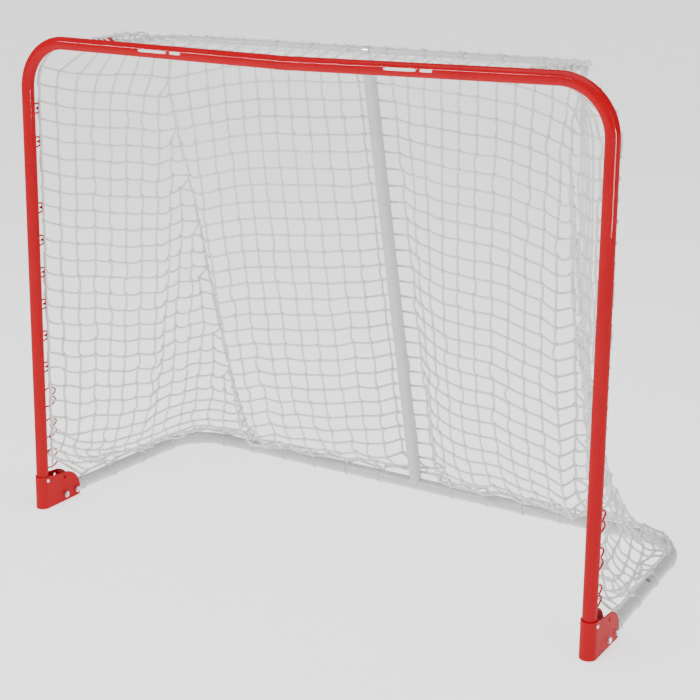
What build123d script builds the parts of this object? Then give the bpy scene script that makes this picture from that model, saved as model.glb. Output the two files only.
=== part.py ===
from build123d import *
import math
import os

os.makedirs("parts", exist_ok=True)

# Frame: X along the crossbar, Y from the mouth to the back, Z up, in millimetres.
# The origin is on the floor, midway between the sides and midway from front to back.

# Overall sizes
WIDTH = 1406.0
HEIGHT = 1117.6
DEPTH = 617.0

# Tubes
TUBE = 28.6
WALL = 1.5
BEND = 105.0
TOE_IN = 2.6
TOE_BEND = 300.0
ROD = 12.7
ROD_BEND = 60.0

# Foot bracket
SHEET = 2.5
FIT = 0.2
BRACKET_HEIGHT = 80.0
BRACKET_ARC = 55.0
PIVOT_BACK = 60.0
BOLT_PITCH = 40.0
BOLT = 8.0
HEX = 13.0
RIVET = 5.0
RIVET_Z = 70.0
CAP = 3.0

# Joints in the tubes
SPIGOT = 45.0
SPIGOT_GAP = 0.4
POST_SEAM = 826.0
BAR_SEAM = -25.0
BAR_SAG = 8.5
BASE_SEAM = 60.0
SCREW = 4.0

# Centre support
SUPPORT_TOP = 36.0

# Shelf rod that carries the net behind the crossbar
SHELF_HALF = 515.0
SHELF_BACK = 318.0
SHELF_DROP = 12.0
SOCKET = 22.0
SOCKET_LENGTH = 85.0

# Net, hooks and ties
NET = 3.0
CORD = 5.0
HOOK_WIRE = 3.2
HOOK_PITCH = 76.0
TIE = 3.0
TIE_PITCH = 90.0
NET_TOP_HALF = 500.0
NET_BACK_HALF = 512.0

# Derived positions
R = TUBE / 2
ROD_R = ROD / 2
SLEEVE = R + FIT + SHEET
POST_X = WIDTH / 2 - SLEEVE
POST_Y = -DEPTH / 2 + SLEEVE
BACK_Y = DEPTH / 2 - R - TIE - 0.3
BASE_Z = R + TIE + 0.4
BAR_Z = HEIGHT - R
RAIL_Y = POST_Y + SHELF_BACK
RAIL_Z = BAR_Z - SHELF_DROP
PIVOT_Y = POST_Y + PIVOT_BACK
LOCK_Y = PIVOT_Y + BOLT_PITCH

SAG_ANGLE = math.degrees(math.atan(BAR_SAG / (POST_X - BEND)))
BEND_Z = BAR_Z - BEND

# The base tubes splay outward from the feet, then run straight to the back corners
TOE = math.radians(TOE_IN)
TOE_Y = POST_Y + PIVOT_BACK + BRACKET_ARC + 6
TOE_END_X = -POST_X + TOE_BEND * (1 - math.cos(TOE))
TOE_END_Y = TOE_Y + TOE_BEND * math.sin(TOE)
CORNER_Y = BACK_Y - BEND
SIDE_END_Y = CORNER_Y + BEND * math.sin(TOE)
SIDE_END_X = TOE_END_X + (SIDE_END_Y - TOE_END_Y) * math.tan(TOE)
CORNER_X = SIDE_END_X + BEND * math.cos(TOE)

# Net and its holding parts
HOOK_Y = POST_Y + R + HOOK_WIRE / 2 + 0.2
LIFT = ROD_R + NET / 2 + TIE + 0.8
PANEL_FRONT = POST_Y + R + 26
PANEL_BACK = RAIL_Y + 27
HEM_Z = BASE_Z + R + TIE + 2.2
HEM_BACK = BACK_Y + 12.8


def save(shapes, name):
    """Write one node, from one solid or from a group of like solids."""
    shapes = shapes if isinstance(shapes, list) else [shapes]
    solids = [solid for shape in shapes for solid in shape.solids()]
    node = solids[0] if len(solids) == 1 else Compound(children=solids)
    node.label = name
    export_step(node, f"parts/{name}.step")


def rod_between(start, end, radius, bore=0.0):
    """A round bar from start to end, hollow when bore is given."""
    line = Vector(*end) - Vector(*start)
    plane = Plane(origin=start, z_dir=line)
    bar = plane * Cylinder(radius, line.length, align=(Align.CENTER, Align.CENTER, Align.MIN))
    if bore:
        bar -= plane * Cylinder(bore, line.length, align=(Align.CENTER, Align.CENTER, Align.MIN))
    return bar


def swept(path, radius, bore=0.0):
    """A round bar along a path, hollow when bore is given."""
    start = Plane(origin=path @ 0, z_dir=path % 0)
    section = start * Circle(radius)
    if bore:
        section -= start * Circle(bore)
    return sweep(section, path=path)


def mirrored(shape):
    return mirror(shape, about=Plane.YZ)


def hexagon(thick):
    return extrude(RegularPolygon(HEX / math.sqrt(3), 6), thick)


# --- Posts -------------------------------------------------------------------------------------

def lower_post(side):
    """Straight tube from the foot cap to the seam, drawn down at the top to enter the corner tube."""
    spigot = R - WALL - SPIGOT_GAP
    bore = spigot - WALL
    outline = Polyline(
        (bore, POST_SEAM + SPIGOT),
        (spigot - 0.8, POST_SEAM + SPIGOT),
        (spigot, POST_SEAM + SPIGOT - 1.5),
        (spigot, POST_SEAM),
        (R, POST_SEAM - 0.4),
        (R, CAP),
        (R - WALL, CAP),
        (R - WALL, POST_SEAM - 6),
        (bore, POST_SEAM - 3),
        close=True,
    )
    tube = revolve(Plane.XZ * make_face(outline), Axis.Z)
    tube = Pos(side * POST_X, POST_Y, 0) * tube
    tube -= rivet_hole(side)
    tube -= post_screw_hole(side)
    return tube


def rivet_hole(side):
    reach = SLEEVE + 4
    x = side * POST_X
    return rod_between((x - reach, POST_Y, RIVET_Z), (x + reach, POST_Y, RIVET_Z), RIVET / 2 + 0.1)


def post_screw_hole(side):
    z = POST_SEAM + SPIGOT / 2
    x = side * POST_X
    return rod_between((x, POST_Y, z), (x, POST_Y + SLEEVE, z), SCREW / 2 + 0.1)


def foot_cap(side):
    """Plug in the bottom of a post, with the flange that stands on the floor."""
    flange = Cylinder(R, CAP - 0.1, align=(Align.CENTER, Align.CENTER, Align.MIN))
    flange = chamfer(flange.edges().group_by(Axis.Z)[0], 0.8)
    stub = Pos(0, 0, CAP - 0.1) * Cylinder(
        R - WALL - 0.1, 14, align=(Align.CENTER, Align.CENTER, Align.MIN)
    )
    stub -= Pos(0, 0, CAP + 1.5) * Cylinder(
        R - WALL - 2.5, 14, align=(Align.CENTER, Align.CENTER, Align.MIN)
    )
    return Pos(side * POST_X, POST_Y, 0) * (flange + stub)


# --- Corner tubes ------------------------------------------------------------------------------

def corner_path(inset, back, z_low, x_end):
    """Up a post, round the corner and along half the crossbar, on the left side.

    inset moves the line towards the inside of the frame, and back moves it behind the frame."""
    radius = BEND - inset
    turn = math.radians(90 + SAG_ANGLE)
    y = POST_Y + back
    low = Vector(-POST_X + inset, y, z_low)
    foot = Vector(-POST_X + inset, y, BEND_Z)

    def on_bend(angle):
        return Vector(
            -POST_X + BEND - radius * math.cos(angle), y, BEND_Z + radius * math.sin(angle)
        )

    end = on_bend(turn)
    slope = math.tan(math.radians(SAG_ANGLE))
    far = Vector(x_end, y, end.Z - slope * (x_end - end.X))
    edges = [
        Edge.make_line(low, foot),
        Edge.make_three_point_arc(foot, on_bend(turn / 2), end),
        Edge.make_line(end, far),
    ]
    return Wire(edges)


def bar_height(x):
    """Height of the crossbar's centre line at x."""
    turn = math.radians(90 + SAG_ANGLE)
    end_x = -POST_X + BEND - BEND * math.cos(turn)
    end_z = BEND_Z + BEND * math.sin(turn)
    return end_z - math.tan(math.radians(SAG_ANGLE)) * (-abs(x) - end_x)


def bar_screw_hole():
    z = bar_height(0)
    return rod_between((0, POST_Y, z - SLEEVE), (0, POST_Y, z), SCREW / 2 + 0.1)


def left_corner_tube():
    """Upper left post, corner and the crossbar's left half, with the spigot for the right half."""
    tube = swept(corner_path(0, 0, POST_SEAM, BAR_SEAM), R, R - WALL)
    spigot = R - WALL - SPIGOT_GAP
    z = bar_height(0)
    end = -BAR_SEAM
    shoulder = rod_between((BAR_SEAM - 6, POST_Y, z), (BAR_SEAM - 1, POST_Y, z), R - 0.8, spigot - WALL)
    neck = rod_between((BAR_SEAM - 6, POST_Y, z), (end, POST_Y, z), spigot, spigot - WALL)
    tube = tube + shoulder + neck
    tube -= bar_screw_hole()
    tube -= post_screw_hole(-1)
    return tube


def right_corner_tube():
    """Upper right post, corner and the crossbar's right half, which slides over the spigot."""
    tube = mirrored(swept(corner_path(0, 0, POST_SEAM, -BAR_SEAM - 0.5), R, R - WALL))
    tube -= bar_screw_hole()
    tube -= post_screw_hole(1)
    return tube


def pan_screw(length):
    """Small pan-head screw, head outward along +Z and its seat at the origin."""
    head = Cylinder(SCREW, 2.4, align=(Align.CENTER, Align.CENTER, Align.MIN))
    head = fillet(head.edges().group_by(Axis.Z)[-1], 1.4)
    slot = Pos(0, 0, 2.4) * Box(0.9, 4.6, 2.0)
    head -= slot
    head -= Rot(0, 0, 90) * slot
    shank = Cylinder(SCREW / 2, length, align=(Align.CENTER, Align.CENTER, Align.MAX))
    return head + shank


def post_joint_screws():
    z = POST_SEAM + SPIGOT / 2
    seat = POST_Y + R
    return [
        Plane(origin=(side * POST_X, seat, z), z_dir=(0, 1, 0)) * pan_screw(8)
        for side in (-1, 1)
    ]


def crossbar_joint_screw():
    return Plane(origin=(0, POST_Y, bar_height(0) - R - 0.2), z_dir=(0, 0, -1)) * pan_screw(8)


# --- Foot brackets -----------------------------------------------------------------------------

def foot_bracket(side):
    """Folded sheet round the foot of a post, with two side plates that hold the base tube."""
    inner = R + FIT
    outer = inner + SHEET
    height = BRACKET_HEIGHT
    floor = 1.0
    upright = (Align.CENTER, Align.CENTER, Align.MIN)
    sleeve = Cylinder(outer, height - floor, align=upright) - Cylinder(inner, height - floor, align=upright)
    sleeve = Pos(0, 0, floor) * split(sleeve, Plane.XZ, keep=Keep.TOP)

    top_z = BASE_Z + BRACKET_ARC
    far_y = PIVOT_BACK + BRACKET_ARC
    corner = 7.0
    mid = math.sqrt(0.5)
    edges = [
        Edge.make_line((0, 0, floor), (0, far_y - corner, floor)),
        Edge.make_three_point_arc(
            (0, far_y - corner, floor),
            (0, far_y - corner * (1 - mid), floor + corner * (1 - mid)),
            (0, far_y, floor + corner),
        ),
        Edge.make_line((0, far_y, floor + corner), (0, far_y, BASE_Z)),
        Edge.make_three_point_arc(
            (0, far_y, BASE_Z),
            (0, PIVOT_BACK + BRACKET_ARC * mid, BASE_Z + BRACKET_ARC * mid),
            (0, PIVOT_BACK, top_z),
        ),
        Edge.make_line((0, PIVOT_BACK, top_z), (0, R + 2, top_z + 4)),
        Edge.make_line((0, R + 2, top_z + 4), (0, R - 4, height)),
        Edge.make_line((0, R - 4, height), (0, 0, height)),
        Edge.make_line((0, 0, height), (0, 0, floor)),
    ]
    plate = extrude(Face(Wire(edges)), SHEET, dir=(1, 0, 0))
    bracket = sleeve + Pos(inner, 0, 0) * plate + Pos(-outer, 0, 0) * plate
    reach = outer + 2
    holes = [
        (PIVOT_BACK, BASE_Z),
        (PIVOT_BACK + BOLT_PITCH, BASE_Z),
        (PIVOT_BACK, BASE_Z + BOLT_PITCH + 3),
    ]
    for y, z in holes:
        bracket -= rod_between((-reach, y, z), (reach, y, z), BOLT / 2 + 0.2)
    bracket = Pos(side * POST_X, POST_Y, 0) * bracket
    bracket -= rivet_hole(side)
    return bracket


def bracket_rivets():
    """One rivet through each bracket and its post, with a low dome at each end."""
    rivets = []
    for side in (-1, 1):
        x = side * POST_X
        half = SLEEVE
        rivet = rod_between((x - half, POST_Y, RIVET_Z), (x + half, POST_Y, RIVET_Z), RIVET / 2)
        for way in (-1, 1):
            plane = Plane(origin=(x + way * half, POST_Y, RIVET_Z), z_dir=(way, 0, 0))
            dome = Cylinder(RIVET * 0.85, 1.8, align=(Align.CENTER, Align.CENTER, Align.MIN))
            dome = fillet(dome.edges().group_by(Axis.Z)[-1], 1.4)
            rivet += plane * dome
        rivets.append(rivet)
    return rivets


def hex_bolt(grip):
    """Bolt with its head's seat at the origin and its shank along -Z."""
    head = hexagon(5.3)
    cone = Cone(HEX * 0.80, HEX * 0.44, 5.3, align=(Align.CENTER, Align.CENTER, Align.MIN))
    head = head & cone
    shank = Cylinder(BOLT / 2, grip, align=(Align.CENTER, Align.CENTER, Align.MAX))
    return head + chamfer(shank.edges().group_by(Axis.Z)[0], 0.8)


def hex_nut():
    nut = hexagon(6.5) - Cylinder(BOLT / 2 + 0.05, 20)
    return nut


def bolt_axes():
    for side in (-1, 1):
        for y in (PIVOT_Y, LOCK_Y):
            yield side, y


def base_bolts():
    """Heads outward, nuts towards the inside of the goal."""
    grip = 2 * SLEEVE + 8.5
    return [
        Plane(origin=(side * (POST_X + SLEEVE), y, BASE_Z), x_dir=(0, 0, 1), z_dir=(side, 0, 0))
        * hex_bolt(grip)
        for side, y in bolt_axes()
    ]


def base_nuts():
    return [
        Plane(origin=(side * (POST_X - SLEEVE), y, BASE_Z), x_dir=(0, 0, 1), z_dir=(-side, 0, 0))
        * hex_nut()
        for side, y in bolt_axes()
    ]


# --- Base --------------------------------------------------------------------------------------

def corner_point(degrees):
    """Point (x, y) on the base's left corner bend, 90 at its back end."""
    turn = math.radians(degrees)
    return CORNER_X - BEND * math.cos(turn), CORNER_Y + BEND * math.sin(turn)


def side_x(y):
    """Distance from the middle of the goal to the base's side tube at y."""
    return -TOE_END_X - max(y - TOE_END_Y, 0) * math.tan(TOE)


def base_path(front_back, x_end):
    """Back along the left side, which toes in behind the bracket, and round the corner to x_end."""
    z = BASE_Z
    front = (-POST_X, POST_Y + front_back, z)
    toe = (-POST_X, TOE_Y, z)
    toe_mid = (
        -POST_X + TOE_BEND * (1 - math.cos(TOE / 2)), TOE_Y + TOE_BEND * math.sin(TOE / 2), z
    )
    toe_end = (TOE_END_X, TOE_END_Y, z)
    side_end = (SIDE_END_X, SIDE_END_Y, z)
    mid = (*corner_point((TOE_IN + 90) / 2), z)
    back = (CORNER_X, BACK_Y, z)
    edges = [
        Edge.make_line(front, toe),
        Edge.make_three_point_arc(toe, toe_mid, toe_end),
        Edge.make_line(toe_end, side_end),
        Edge.make_three_point_arc(side_end, mid, back),
        Edge.make_line(back, (x_end, BACK_Y, z)),
    ]
    return Wire(edges)


def base_bolt_holes(side):
    x = side * POST_X
    holes = [
        rod_between((x - R - 2, y, BASE_Z), (x + R + 2, y, BASE_Z), BOLT / 2 + 0.2)
        for y in (PIVOT_Y, LOCK_Y)
    ]
    return holes


def support_screw_hole():
    return rod_between((0, BACK_Y, -1), (0, BACK_Y, BASE_Z + R + 1), 2.7)


def base_joint_hole():
    x = BASE_SEAM - SPIGOT / 2
    return rod_between((x, BACK_Y, BASE_Z), (x, BACK_Y + R + 1, BASE_Z), SCREW / 2 + 0.1)


def base_left_tube():
    """Left side, left corner and the back bar as far as the seam right of the middle."""
    tube = swept(base_path(PIVOT_BACK - 22, BASE_SEAM), R, R - WALL)
    for hole in base_bolt_holes(-1):
        tube -= hole
    tube -= support_screw_hole()
    tube -= base_joint_hole()
    return tube


def base_right_tube():
    """Right side, right corner and the rest of the back bar, drawn down to enter the left half."""
    tube = mirrored(swept(base_path(PIVOT_BACK - 22, -BASE_SEAM - 0.3), R, R - WALL))
    spigot = R - WALL - SPIGOT_GAP
    start = BASE_SEAM + 6
    end = BASE_SEAM - SPIGOT
    neck = rod_between((start, BACK_Y, BASE_Z), (end, BACK_Y, BASE_Z), spigot, spigot - WALL)
    collar = rod_between(
        (start, BACK_Y, BASE_Z), (BASE_SEAM + 1, BACK_Y, BASE_Z), R - 0.8, spigot - WALL
    )
    tube = tube + neck + collar
    for hole in base_bolt_holes(1):
        tube -= hole
    tube -= base_joint_hole()
    return tube


def base_joint_screw():
    x = BASE_SEAM - SPIGOT / 2
    return Plane(origin=(x, BACK_Y + R, BASE_Z), z_dir=(0, 1, 0)) * pan_screw(8)


# --- Centre support ----------------------------------------------------------------------------

def support_axis():
    """Unit direction from the back bar up to the shelf rail."""
    line = Vector(0, RAIL_Y, RAIL_Z) - Vector(0, BACK_Y, BASE_Z)
    return line.normalized()


def support_point(along_from_top):
    return Vector(0, RAIL_Y, RAIL_Z) - support_axis() * along_from_top


def support_frame(along_from_top):
    """Plane across the support, its z along the support and its x along the crossbar."""
    return Plane(origin=support_point(along_from_top), x_dir=(1, 0, 0), z_dir=support_axis())


def centre_support_tube():
    """Straight tube from the back bar to just under the shelf rail, coped to sit on the bar."""
    top = support_point(SUPPORT_TOP)
    low = Vector(0, BACK_Y, BASE_Z)
    tube = rod_between(tuple(low), tuple(top), R, R - WALL)
    tube -= rod_between((-60, BACK_Y, BASE_Z), (60, BACK_Y, BASE_Z), R + 0.15)
    plane = support_frame(SUPPORT_TOP + 18)
    tube -= plane * Rot(0, 90, 0) * Cylinder(3.2, 60)
    return tube


def support_top_clip():
    """Loop over the shelf rail, with its thick tongue inside the top of the support."""
    width = 14.0
    thick = 2.5
    tongue_thick = 12.0
    loop = Cylinder(ROD_R + 0.15 + thick, width) - Cylinder(ROD_R + 0.15, width)
    loop = Rot(0, 90, 0) * loop
    tongue_length = SUPPORT_TOP + 30
    tongue = Pos(0, 0, -ROD_R - 0.15) * Box(
        width, tongue_thick, tongue_length - ROD_R, align=(Align.CENTER, Align.CENTER, Align.MAX)
    )
    clip = loop + tongue - Rot(0, 90, 0) * Cylinder(ROD_R + 0.15, width + 2)
    clip -= Pos(0, 0, -SUPPORT_TOP - 18) * Rot(0, 90, 0) * Cylinder(3.2, 60)
    return support_frame(0) * clip


def support_top_bolt():
    """Cross bolt through the support and the clip's tongue."""
    head = extrude(RegularPolygon(5.8, 6), 4)
    shank = Cylinder(3.0, TUBE + 7, align=(Align.CENTER, Align.CENTER, Align.MAX))
    bolt = Pos(0, 0, R) * (head + shank)
    return support_frame(SUPPORT_TOP + 18) * Rot(0, 90, 0) * bolt


def support_top_nut():
    nut = extrude(RegularPolygon(5.8, 6), 5) - Cylinder(3.05, 20)
    return support_frame(SUPPORT_TOP + 18) * Rot(0, 90, 0) * Pos(0, 0, -R - 5) * nut


def support_bottom_plug():
    """Insert in the lower end of the support that takes the screw through the back bar."""
    low = Vector(0, BACK_Y, BASE_Z) + support_axis() * (R + 6)
    high = low + support_axis() * 24
    plug = rod_between(tuple(low), tuple(high), R - WALL - 0.1)
    plug -= rod_between((-60, BACK_Y, BASE_Z), (60, BACK_Y, BASE_Z), R + 0.3)
    plug -= rod_between((0, BACK_Y, -1), (0, BACK_Y, 60), 2.55)
    return plug


def support_bottom_screw():
    """Screw up through the back bar into the plug, its head sunk in the tube's lower wall."""
    head = Cylinder(2.6, 1.6, align=(Align.CENTER, Align.CENTER, Align.MIN))
    shank = Pos(0, 0, 1.6) * Cylinder(2.4, 40, align=(Align.CENTER, Align.CENTER, Align.MIN))
    return Pos(0, BACK_Y, BASE_Z - R + 0.3) * (head + shank)


# --- Shelf -------------------------------------------------------------------------------------

def shelf_slope():
    return SHELF_DROP / SHELF_BACK


def shelf_height(y):
    """Height of the shelf rod's centre line at y."""
    return BAR_Z - shelf_slope() * (y - POST_Y)


def shelf_path(front_y):
    """Left arm, left bend, rail, right bend and right arm of the shelf rod."""
    mid = ROD_BEND * (1 - math.sqrt(0.5))
    back = RAIL_Y

    def point(x, y):
        return Vector(x, y, shelf_height(y))

    half = SHELF_HALF
    edges = [
        Edge.make_line(point(-half, front_y), point(-half, back - ROD_BEND)),
        Edge.make_three_point_arc(
            point(-half, back - ROD_BEND),
            point(-half + mid, back - mid),
            point(-half + ROD_BEND, back),
        ),
        Edge.make_line(point(-half + ROD_BEND, back), point(half - ROD_BEND, back)),
        Edge.make_three_point_arc(
            point(half - ROD_BEND, back),
            point(half - mid, back - mid),
            point(half, back - ROD_BEND),
        ),
        Edge.make_line(point(half, back - ROD_BEND), point(half, front_y)),
    ]
    return Wire(edges)


def shelf_screw_hole(side):
    y = POST_Y + SOCKET_LENGTH - 15
    z = shelf_height(y)
    x = side * SHELF_HALF
    return rod_between((x, y, z - SOCKET), (x, y, z + 2), SCREW / 2 + 0.1)


def shelf_rod():
    rod = swept(shelf_path(POST_Y + R + 12), ROD_R)
    for side in (-1, 1):
        rod -= shelf_screw_hole(side)
    return rod


def shelf_socket(side):
    """Stub tube welded to the back of the crossbar, which the shelf rod's end slides into."""
    x = side * SHELF_HALF
    near = (x, POST_Y, bar_height(x))
    far_y = POST_Y + SOCKET_LENGTH
    far = (x, far_y, shelf_height(far_y))
    stub = rod_between(near, far, SOCKET / 2)
    inner_near = (x, POST_Y + R + 8, shelf_height(POST_Y + R + 8))
    inner_far = (x, far_y + 10, shelf_height(far_y + 10))
    stub -= rod_between(inner_near, inner_far, ROD_R + 0.3)
    bar = rod_between(
        (x - 40, POST_Y, bar_height(abs(x) + 40)), (x + 40, POST_Y, bar_height(abs(x) - 40)), R + 0.05
    )
    if side > 0:
        bar = mirrored(
            rod_between(
                (-x - 40, POST_Y, bar_height(x + 40)), (-x + 40, POST_Y, bar_height(x - 40)), R + 0.05
            )
        )
    stub -= bar
    stub -= shelf_screw_hole(side)
    solids = sorted(stub.solids(), key=lambda solid: solid.center().Y)
    return solids[-1]


def shelf_screws():
    y = POST_Y + SOCKET_LENGTH - 15
    return [
        Plane(origin=(side * SHELF_HALF, y, shelf_height(y) - SOCKET / 2 - 0.3), z_dir=(0, 0, -1))
        * pan_screw(9)
        for side in (-1, 1)
    ]


# --- Net hooks, cords and ties -----------------------------------------------------------------

def net_hook():
    """Bent wire with two upturned tips. Its stem is along Z and its tips point to +Y."""
    points = [
        (0, 31, 26),
        (0, 26, 19),
        (0, 14, 18),
        (0, 5, 17),
        (0, 1, 12),
        (0, 0, 6),
        (0, 0, -6),
        (0, 1, -12),
        (0, 5, -17),
        (0, 16, -18),
        (0, 28, -15),
        (0, 33, -8),
    ]
    return swept(Wire(Edge.make_spline([Vector(*p) for p in points])), HOOK_WIRE / 2)


def post_hooks(side):
    """Hooks welded up the back of a post."""
    hook = net_hook()
    y = HOOK_Y
    heights = [114 + HOOK_PITCH * k for k in range(12) if abs(114 + HOOK_PITCH * k - POST_SEAM) > 30]
    return [Pos(side * POST_X, y, z) * hook for z in heights if z < BEND_Z]


def crossbar_hooks(side):
    """Hooks welded along the back of half the crossbar, clear of the shelf socket and the seam."""
    hook = Rot(0, 90, 0) * net_hook()
    y = HOOK_Y
    places = [70 + HOOK_PITCH * k for k in range(6)]
    return [Pos(side * x, y, bar_height(x)) * hook for x in places if x < SHELF_HALF - 40]


def post_cord(side):
    """Edge cord of the net, held by the hooks of one post and round its corner to the shelf."""
    inset = (HOOK_WIRE + CORD) / 2 + 0.4
    path = corner_path(inset, R + 18, 96, -SHELF_HALF - SOCKET / 2 - 6)
    cord = swept(path, CORD / 2)
    return cord if side < 0 else mirrored(cord)


def crossbar_cord():
    """Edge cord of the net along the crossbar between the shelf sockets."""
    inset = (HOOK_WIRE + CORD) / 2 + 0.4
    y = POST_Y + R + 18
    end = SHELF_HALF - SOCKET / 2 - 6
    edges = [
        Edge.make_line((-end, y, bar_height(end) - inset), (0, y, bar_height(0) - inset)),
        Edge.make_line((0, y, bar_height(0) - inset), (end, y, bar_height(end) - inset)),
    ]
    return sweep(
        Plane(origin=(-end, y, bar_height(end) - inset), z_dir=edges[0] % 0) * Circle(CORD / 2),
        path=Wire(edges),
        transition=Transition.RIGHT,
    )


def ring(bar_radius):
    return Torus(bar_radius + TIE / 2 + 0.3, TIE / 2)


def base_ties(side):
    """Cord loops round the base tube that hold the bottom edge of the net."""
    ties = []
    first = POST_Y + PIVOT_BACK + BRACKET_ARC + 25
    last = CORNER_Y
    count = int((last - first) / TIE_PITCH) + 1
    for k in range(count):
        y = first + (last - first) * k / (count - 1)
        ties.append(Plane(origin=(side * side_x(y), y, BASE_Z), z_dir=(0, 1, 0)) * ring(R))
    x_first = -CORNER_X
    count = int((x_first - 100) / TIE_PITCH) + 1
    for k in range(count):
        x = x_first - (x_first - 100) * k / (count - 1)
        ties.append(Plane(origin=(side * x, BACK_Y, BASE_Z), z_dir=(1, 0, 0)) * ring(R))
    x, y = corner_point(45)
    ties.append(Plane(origin=(-side * x, y, BASE_Z), z_dir=(-side, 1, 0)) * ring(R))
    return ties


def shelf_ties():
    """Cord loops round the shelf rod, along both arms and the rail."""
    ties = []
    for side in (-1, 1):
        for k in range(2):
            y = POST_Y + SOCKET_LENGTH + 25 + k * TIE_PITCH
            plane = Plane(origin=(side * SHELF_HALF, y, shelf_height(y)), z_dir=(0, 1, -shelf_slope()))
            ties.append(plane * ring(ROD_R))
        for k in range(5):
            x = side * (50 + k * TIE_PITCH)
            ties.append(Plane(origin=(x, RAIL_Y, RAIL_Z), z_dir=(1, 0, 0)) * ring(ROD_R))
    return ties


# --- Net panels --------------------------------------------------------------------------------

def flat_panel(corners, normal):
    """Flat panel of netting through four corners, NET thick."""
    face = Face(Wire.make_polygon([Vector(*c) for c in corners]))
    half = Vector(*normal).normalized() * (NET / 2)
    return extrude(face.moved(Location(-half)), NET, dir=half.normalized())


def net_top_panel():
    """Netting over the shelf, from the crossbar to the rail."""
    slope = shelf_slope()
    corners = [
        (-NET_TOP_HALF, PANEL_FRONT, shelf_height(PANEL_FRONT) + LIFT),
        (NET_TOP_HALF, PANEL_FRONT, shelf_height(PANEL_FRONT) + LIFT),
        (NET_TOP_HALF, PANEL_BACK, shelf_height(PANEL_BACK) + LIFT),
        (-NET_TOP_HALF, PANEL_BACK, shelf_height(PANEL_BACK) + LIFT),
    ]
    return flat_panel(corners, (0, slope, 1))


def back_panel_corners():
    top_z = shelf_height(PANEL_BACK) + LIFT - NET - 0.5
    low_half = -CORNER_X
    return [
        (-NET_BACK_HALF, PANEL_BACK, top_z),
        (NET_BACK_HALF, PANEL_BACK, top_z),
        (low_half, HEM_BACK, HEM_Z),
        (-low_half, HEM_BACK, HEM_Z),
    ]


def net_back_panel():
    """Sloping netting from the shelf rail to the back bar."""
    high, _, low, _ = back_panel_corners()
    run = low[1] - high[1]
    drop = high[2] - low[2]
    return flat_panel(back_panel_corners(), (0, drop, run))


def even_points(corners, count):
    """Points at equal distances along a line through the corners."""
    lengths = [(Vector(*b) - Vector(*a)).length for a, b in zip(corners, corners[1:])]
    total = sum(lengths)
    points = []
    for k in range(count):
        left = total * k / (count - 1)
        for a, b, length in zip(corners, corners[1:], lengths):
            if left <= length + 1e-6:
                break
            left -= length
        share = min(left / length, 1.0)
        points.append(Vector(*a) + (Vector(*b) - Vector(*a)) * share)
    return points


def arc_points(centre, radius, start, end, count):
    """(u, v) points round an arc, angles in degrees."""
    angles = [math.radians(start + (end - start) * k / count) for k in range(count + 1)]
    return [(centre[0] + radius * math.cos(a), centre[1] + radius * math.sin(a)) for a in angles]


def side_front_edge():
    """Edge of the left side panel, up behind the post and round to the shelf."""
    y = POST_Y + R + 38
    bend = arc_points((-POST_X + BEND, BEND_Z), BEND, 180, 90, 6)
    points = [(-POST_X, y, 98)]
    points += [(x, y, z) for x, z in bend]
    points.append((-SHELF_HALF - 16, y, bar_height(SHELF_HALF) + 3))
    return points


def side_back_edge():
    """Edge of the left side panel, along the base, up the crease and forward along the shelf."""
    bend = [corner_point(TOE_IN + (85 - TOE_IN) * k / 6) for k in range(7)]
    points = [(-POST_X, POST_Y + PIVOT_BACK + BRACKET_ARC + 14, HEM_Z)]
    points += [(x, y, HEM_Z) for x, y in bend]
    top_z = shelf_height(PANEL_BACK) + LIFT - NET - 0.5
    edge_x = -SHELF_HALF - ROD_R - TIE - NET - 1
    points.append((CORNER_X - 3, HEM_BACK, HEM_Z))
    points.append((-NET_BACK_HALF - 3, PANEL_BACK, top_z))
    points.append((edge_x, PANEL_BACK - 12, top_z))
    points.append((edge_x, POST_Y + SOCKET_LENGTH, shelf_height(POST_Y + SOCKET_LENGTH) + 6))
    return points


def net_left_panel():
    """Curved netting from the left post to the base, the crease and the shelf."""
    rows = 25
    columns = 5
    front = even_points(side_front_edge(), rows)
    back = even_points(side_back_edge(), rows)
    grid = [
        [a + (b - a) * (k / (columns - 1)) for k in range(columns)] for a, b in zip(front, back)
    ]

    def normal(i, k):
        up = grid[min(i + 1, rows - 1)][k] - grid[max(i - 1, 0)][k]
        along = grid[i][min(k + 1, columns - 1)] - grid[i][max(k - 1, 0)]
        return up.cross(along).normalized()

    skins = []
    for way in (-1, 1):
        skins.append(
            [[grid[i][k] + normal(i, k) * (way * NET / 2) for k in range(columns)] for i in range(rows)]
        )
    faces = []

    def quad(a, b, c, d):
        faces.append(Face(Wire.make_polygon([a, b, c])))
        faces.append(Face(Wire.make_polygon([a, c, d])))

    for skin in skins:
        for i in range(rows - 1):
            for k in range(columns - 1):
                quad(skin[i][k], skin[i][k + 1], skin[i + 1][k + 1], skin[i + 1][k])
    low, high = skins
    for i in range(rows - 1):
        for k in (0, columns - 1):
            quad(low[i][k], low[i + 1][k], high[i + 1][k], high[i][k])
    for k in range(columns - 1):
        for i in (0, rows - 1):
            quad(low[i][k], low[i][k + 1], high[i][k + 1], high[i][k])
    return Solid(Shell(faces))


# --- Write the nodes ---------------------------------------------------------------------------

for side, word in ((-1, "left"), (1, "right")):
    save(lower_post(side), f"{word}_lower_post")
    save(foot_bracket(side), f"{word}_foot_bracket")
    save(foot_cap(side), f"{word}_foot_cap")
    save(shelf_socket(side), f"{word}_shelf_socket")
    save(post_hooks(side), f"{word}_post_hooks")
    save(crossbar_hooks(side), f"{word}_crossbar_hooks")
    save(post_cord(side), f"{word}_post_cord")
    save(base_ties(side), f"{word}_base_ties")

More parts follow.
